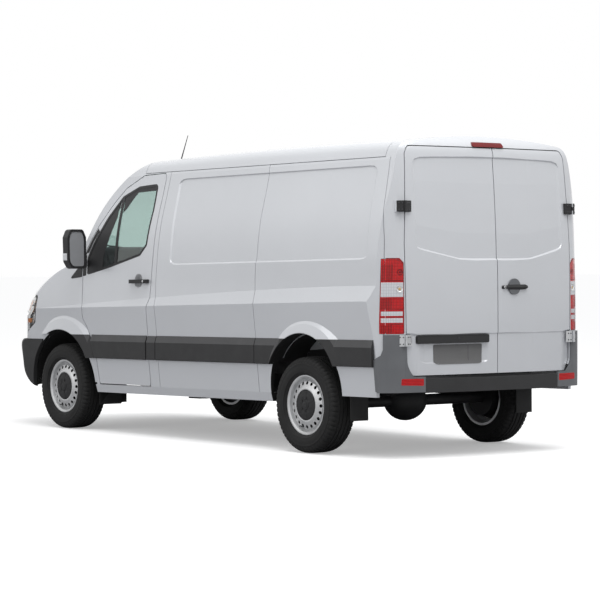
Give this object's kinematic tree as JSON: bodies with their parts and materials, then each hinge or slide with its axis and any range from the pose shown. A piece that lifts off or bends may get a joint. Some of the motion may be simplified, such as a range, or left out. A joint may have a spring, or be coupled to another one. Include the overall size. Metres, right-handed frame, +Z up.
{
  "type": "cargo van",
  "caption": "Panel van with a short bonnet, a hollow cab and load space, hinged front and rear doors, a sliding side door, steered front wheels and a driven rear axle.",
  "frame": {"origin": "on the ground, midway between the nose and the tail and between the two sides", "axes": "front faces -Y, the van's left side faces +X, +Z is up"},
  "size_m": [2.3796, 5.257, 2.3848],
  "materials": {
    "body_paint": "satin",
    "black_plastic": "matte",
    "bumper_plastic": "matte",
    "rubber": "matte",
    "glass": "polished",
    "headlamp_lens": "polished",
    "tail_lens": "polished",
    "chassis_paint": "matte",
    "inner_paint": "satin",
    "trim_plastic": "matte",
    "seat_fabric": "matte",
    "cast_block": "matte",
    "exhaust_steel": "satin",
    "tyre": "matte",
    "wheel_silver": "satin"
  },
  "bodies": {
    "chassis": {"antenna": "black_plastic", "cab_frame": "body_paint", "cab_seats": "seat_fabric", "chassis_rails": "chassis_paint", "dashboard": "trim_plastic", "engine_block": "cast_block", "exhaust": "exhaust_steel", "floor_pan": "inner_paint", "front_bumper": "bumper_plastic", "front_fenders": "body_paint", "fuel_tank": "black_plastic", "grille_panel": "black_plastic", "headlamps": "headlamp_lens", "mud_flaps": "rubber", "propshaft": "chassis_paint", "quarter_panel_left": "body_paint", "quarter_panel_right": "body_paint", "rear_axle": "chassis_paint", "rear_bumper": "bumper_plastic", "roof_panel": "body_paint", "rub_strips": "black_plastic", "side_panel_left": "body_paint", "sills": "body_paint", "sliding_door": "body_paint", "tail_frame": "body_paint", "tail_lamps": "tail_lens", "wheel_liners": "black_plastic", "windscreen": "glass"},
    "front_door_l": {"front_door_left": "body_paint", "door_glass_left": "glass", "door_trim_left": "black_plastic"},
    "front_door_r": {"front_door_right": "body_paint", "door_glass_right": "glass", "door_trim_right": "black_plastic"},
    "rear_door_l": {"rear_door_left": "body_paint", "rear_door_trim_left": "black_plastic"},
    "rear_door_r": {"rear_door_right": "body_paint", "rear_door_trim_right": "black_plastic"},
    "bonnet_lid": {"bonnet": "body_paint"},
    "steering": {"steering_wheel": "trim_plastic"},
    "steer_l": {"knuckle_left": "chassis_paint"},
    "steer_r": {"knuckle_right": "chassis_paint"},
    "wheel_fl": {"tyre_front_left": "tyre", "rim_front_left": "wheel_silver"},
    "wheel_fr": {"tyre_front_right": "tyre", "rim_front_right": "wheel_silver"},
    "wheel_rl": {"tyre_rear_left": "tyre", "rim_rear_left": "wheel_silver"},
    "wheel_rr": {"tyre_rear_right": "tyre", "rim_rear_right": "wheel_silver"}
  },
  "joints": [
    {"name": "front_door_left_hinge", "type": "hinge", "parent": "chassis", "child": "front_door_l", "pos_m": [0.988, -1.29063, 0.88035], "axis": [0, 0.0153, -0.9999], "range_deg": [0, 70]},
    {"name": "front_door_right_hinge", "type": "hinge", "parent": "chassis", "child": "front_door_r", "pos_m": [-0.988, -1.29063, 0.88035], "axis": [0, -0.0153, 0.9999], "range_deg": [0, 70]},
    {"name": "rear_door_left_hinge", "type": "hinge", "parent": "chassis", "child": "rear_door_l", "pos_m": [0.812, 2.59792, 0.93987], "axis": [0, 0.0153, -0.9999], "range_deg": [0, 180]},
    {"name": "rear_door_right_hinge", "type": "hinge", "parent": "chassis", "child": "rear_door_r", "pos_m": [-0.812, 2.59792, 0.93987], "axis": [0, -0.0153, 0.9999], "range_deg": [0, 180]},
    {"name": "bonnet_hinge", "type": "hinge", "parent": "chassis", "child": "bonnet_lid", "pos_m": [0, -1.73335, 1.38163], "axis": [-1, 0, 0], "range_deg": [0, 60]},
    {"name": "steer_left", "type": "hinge", "parent": "chassis", "child": "steer_l", "pos_m": [0.762, -1.618, 0.352], "axis": [0, 0, 1], "range_deg": [-36, 36]},
    {"name": "steer_right", "type": "hinge", "parent": "chassis", "child": "steer_r", "pos_m": [-0.762, -1.618, 0.352], "axis": [0, 0, 1], "range_deg": [-36, 36]},
    {"name": "steering_wheel_turn", "type": "hinge", "parent": "chassis", "child": "steering", "pos_m": [0.43, -1.179, 1.2321], "axis": [0, 0.6035, 0.7973], "range_deg": [-540, 540]},
    {"name": "wheel_front_left_spin", "type": "hinge", "parent": "steer_l", "child": "wheel_fl", "pos_m": [0.855, -1.618, 0.352], "axis": [1, 0, 0], "continuous": true},
    {"name": "wheel_front_right_spin", "type": "hinge", "parent": "steer_r", "child": "wheel_fr", "pos_m": [-0.855, -1.618, 0.352], "axis": [1, 0, 0], "continuous": true},
    {"name": "wheel_rear_left_spin", "type": "hinge", "parent": "chassis", "child": "wheel_rl", "pos_m": [0.858, 1.632, 0.352], "axis": [1, 0, 0], "continuous": true},
    {"name": "wheel_rear_right_spin", "type": "hinge", "parent": "chassis", "child": "wheel_rr", "pos_m": [-0.858, 1.632, 0.352], "axis": [1, 0, 0], "continuous": true}
  ],
  "couplings": [
    {"joint": "steer_right", "follows": "steer_left", "ratio": 1},
    {"joint": "steering_wheel_turn", "follows": "steer_left", "ratio": 15}
  ]
}
